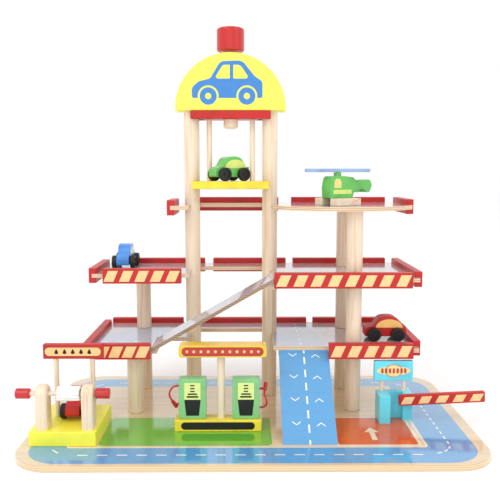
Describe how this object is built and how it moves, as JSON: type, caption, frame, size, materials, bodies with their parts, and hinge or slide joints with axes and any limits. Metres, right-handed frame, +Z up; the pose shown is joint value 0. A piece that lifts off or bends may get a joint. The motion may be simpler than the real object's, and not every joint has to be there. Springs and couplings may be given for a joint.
{
  "type": "toy parking garage with lift",
  "caption": "Wooden toy parking garage with decks on round columns, a wound lift, ramps, car wash, petrol pumps, ticket booth with barrier, toy cars and a helicopter.",
  "frame": {"origin": "centre of the base board's underside", "axes": "+X to the right along the board's long side, +Y to the back, +Z up; the ramp, car wash, petrol pumps and ticket booth are at the front, towards -Y"},
  "size_m": [0.6313, 0.35, 0.568],
  "materials": {
    "natural_wood": "clear lacquered",
    "lacquered_board": "printed and gloss lacquered plywood",
    "deck_plywood": "grey printed plywood with bare edges",
    "red_paint": "red gloss painted",
    "pale_yellow_paint": "pale yellow satin painted",
    "bright_yellow_paint": "bright yellow gloss painted",
    "pale_green_paint": "pale green satin painted",
    "grass_green_paint": "green gloss painted",
    "light_blue_paint": "light blue satin painted",
    "cyan_paint": "cyan gloss painted",
    "blue_paint": "blue gloss painted",
    "grey_print": "grey printed top with brown sides",
    "black_paint": "black satin painted",
    "red_hose": "soft red hose",
    "white_cloth": "white felt"
  },
  "bodies": {
    "garage": {"base_board": "lacquered_board", "left_columns": "natural_wood", "right_columns": "natural_wood", "dowel_pins": "natural_wood", "first_deck": "deck_plywood", "second_deck": "deck_plywood", "third_deck": "deck_plywood", "first_deck_rails": "red_paint", "second_deck_rails": "red_paint", "third_deck_rails": "red_paint", "first_deck_striped_rails": "red_paint", "second_deck_striped_rails": "red_paint", "side_ramp": "grey_print", "front_ramp": "blue_paint", "ramp_blocks": "natural_wood", "sign_posts": "natural_wood", "tower_posts": "natural_wood", "dome_front_panel": "pale_yellow_paint", "dome_back_panel": "pale_yellow_paint", "bearing_block": "natural_wood", "wash_plinth": "pale_yellow_paint", "wash_uprights": "natural_wood", "wash_sign": "red_paint", "petrol_plinth": "bright_yellow_paint", "petrol_pumps": "pale_green_paint", "petrol_sign": "bright_yellow_paint", "left_hose": "red_hose", "right_hose": "red_hose", "left_nozzle": "red_paint", "right_nozzle": "red_paint", "booth_block": "cyan_paint", "booth_sign": "cyan_paint", "barrier_pin": "natural_wood"},
    "winch": {"winch_spindle": "natural_wood", "winch_knob": "red_paint"},
    "lift_car": {"lift_floor": "bright_yellow_paint", "lift_bar": "red_paint", "lift_rods": "natural_wood", "cord_plug": "natural_wood"},
    "barrier": {"barrier_arm": "red_paint"},
    "brush": {"wash_rod": "natural_wood", "wash_knobs": "red_paint", "wash_brush": "white_cloth"},
    "helicopter": {"heli_body": "grass_green_paint", "heli_skids": "natural_wood", "heli_hub": "grass_green_paint"},
    "rotor": {"heli_rotor": "light_blue_paint"},
    "red_car": {"red_car_body": "red_paint"},
    "red_car_front_axle": {"red_car_front_wheels": "black_paint"},
    "red_car_rear_axle": {"red_car_rear_wheels": "black_paint"},
    "blue_car": {"blue_car_body": "blue_paint"},
    "blue_car_front_axle": {"blue_car_front_wheels": "black_paint"},
    "blue_car_rear_axle": {"blue_car_rear_wheels": "black_paint"},
    "wash_car": {"wash_car_body": "red_paint"},
    "wash_car_front_axle": {"wash_car_front_wheels": "black_paint"},
    "wash_car_rear_axle": {"wash_car_rear_wheels": "black_paint"},
    "green_car": {"green_car_body": "grass_green_paint"},
    "green_car_front_axle": {"green_car_front_wheels": "black_paint"},
    "green_car_rear_axle": {"green_car_rear_wheels": "black_paint"}
  },
  "joints": [
    {"name": "lift_travel", "type": "slide", "parent": "garage", "child": "lift_car", "axis": [0, 0, 1], "range_m": [-0.323, 0]},
    {"name": "winch_turn", "type": "hinge", "parent": "garage", "child": "winch", "pos_m": [-0.032, 0.0835, 0.5], "axis": [0, 0, 1], "range_deg": [-2314, 0]},
    {"name": "barrier_lift", "type": "hinge", "parent": "garage", "child": "barrier", "pos_m": [0.216, -0.0365, 0.04], "axis": [0, -1, 0], "range_deg": [0, 80]},
    {"name": "brush_spin", "type": "hinge", "parent": "garage", "child": "brush", "pos_m": [-0.246, -0.1015, 0.0725], "axis": [1, 0, 0], "continuous": true},
    {"name": "helicopter_liftoff", "type": "slide", "parent": "garage", "child": "helicopter", "axis": [0, 0, 1], "range_m": [0, 0.06]},
    {"name": "rotor_spin", "type": "hinge", "parent": "helicopter", "child": "rotor", "pos_m": [0.125, 0.045, 0.36], "axis": [0, 0, 1], "continuous": true},
    {"name": "red_car_roll", "type": "slide", "parent": "garage", "child": "red_car", "axis": [-1, 0, 0], "range_m": [-0.001, 0.01]},
    {"name": "red_car_front_wheels_turn", "type": "hinge", "parent": "red_car", "child": "red_car_front_axle", "pos_m": [0.18, 0.038, 0.11815], "axis": [0, -1, 0], "range_deg": [-6.23, 57.8]},
    {"name": "red_car_rear_wheels_turn", "type": "hinge", "parent": "red_car", "child": "red_car_rear_axle", "pos_m": [0.215, 0.038, 0.11815], "axis": [0, -1, 0], "range_deg": [-6.23, 57.8]},
    {"name": "blue_car_roll", "type": "slide", "parent": "garage", "child": "blue_car", "axis": [0, -1, 0], "range_m": [-0.008, 0.034]},
    {"name": "blue_car_front_wheels_turn", "type": "hinge", "parent": "blue_car", "child": "blue_car_front_axle", "pos_m": [-0.1985, 0.088, 0.21815], "axis": [1, 0, 0], "range_deg": [-46.34, 195.31]},
    {"name": "blue_car_rear_wheels_turn", "type": "hinge", "parent": "blue_car", "child": "blue_car_rear_axle", "pos_m": [-0.1985, 0.123, 0.21815], "axis": [1, 0, 0], "range_deg": [-46.34, 195.31]},
    {"name": "wash_car_roll", "type": "slide", "parent": "garage", "child": "wash_car", "axis": [0, -1, 0], "range_m": [-0.001, 0.03]},
    {"name": "wash_car_front_wheels_turn", "type": "hinge", "parent": "wash_car", "child": "wash_car_front_axle", "pos_m": [-0.2405, -0.0685, 0.03715], "axis": [1, 0, 0], "range_deg": [-6.23, 172.39]},
    {"name": "wash_car_rear_wheels_turn", "type": "hinge", "parent": "wash_car", "child": "wash_car_rear_axle", "pos_m": [-0.2405, -0.0335, 0.03715], "axis": [1, 0, 0], "range_deg": [-6.23, 172.39]},
    {"name": "green_car_roll", "type": "slide", "parent": "lift_car", "child": "green_car", "axis": [-0.788, -0.6157, 0], "range_m": [-0.001, 0.002]},
    {"name": "green_car_front_wheels_turn", "type": "hinge", "parent": "green_car", "child": "green_car_front_axle", "pos_m": [-0.04839, 0.06373, 0.35315], "axis": [0.6157, -0.788, 0], "range_deg": [-6.23, 11.96]},
    {"name": "green_car_rear_wheels_turn", "type": "hinge", "parent": "green_car", "child": "green_car_rear_axle", "pos_m": [-0.02081, 0.08527, 0.35315], "axis": [0.6157, -0.788, 0], "range_deg": [-6.23, 11.96]}
  ],
  "couplings": [
    {"joint": "winch_turn", "follows": "lift_travel", "rad_per_m": 125},
    {"joint": "red_car_front_wheels_turn", "follows": "red_car_roll", "rad_per_m": 100},
    {"joint": "red_car_rear_wheels_turn", "follows": "red_car_roll", "rad_per_m": 100},
    {"joint": "blue_car_front_wheels_turn", "follows": "blue_car_roll", "rad_per_m": 100},
    {"joint": "blue_car_rear_wheels_turn", "follows": "blue_car_roll", "rad_per_m": 100},
    {"joint": "wash_car_front_wheels_turn", "follows": "wash_car_roll", "rad_per_m": 100},
    {"joint": "wash_car_rear_wheels_turn", "follows": "wash_car_roll", "rad_per_m": 100},
    {"joint": "green_car_front_wheels_turn", "follows": "green_car_roll", "rad_per_m": 100},
    {"joint": "green_car_rear_wheels_turn", "follows": "green_car_roll", "rad_per_m": 100}
  ]
}
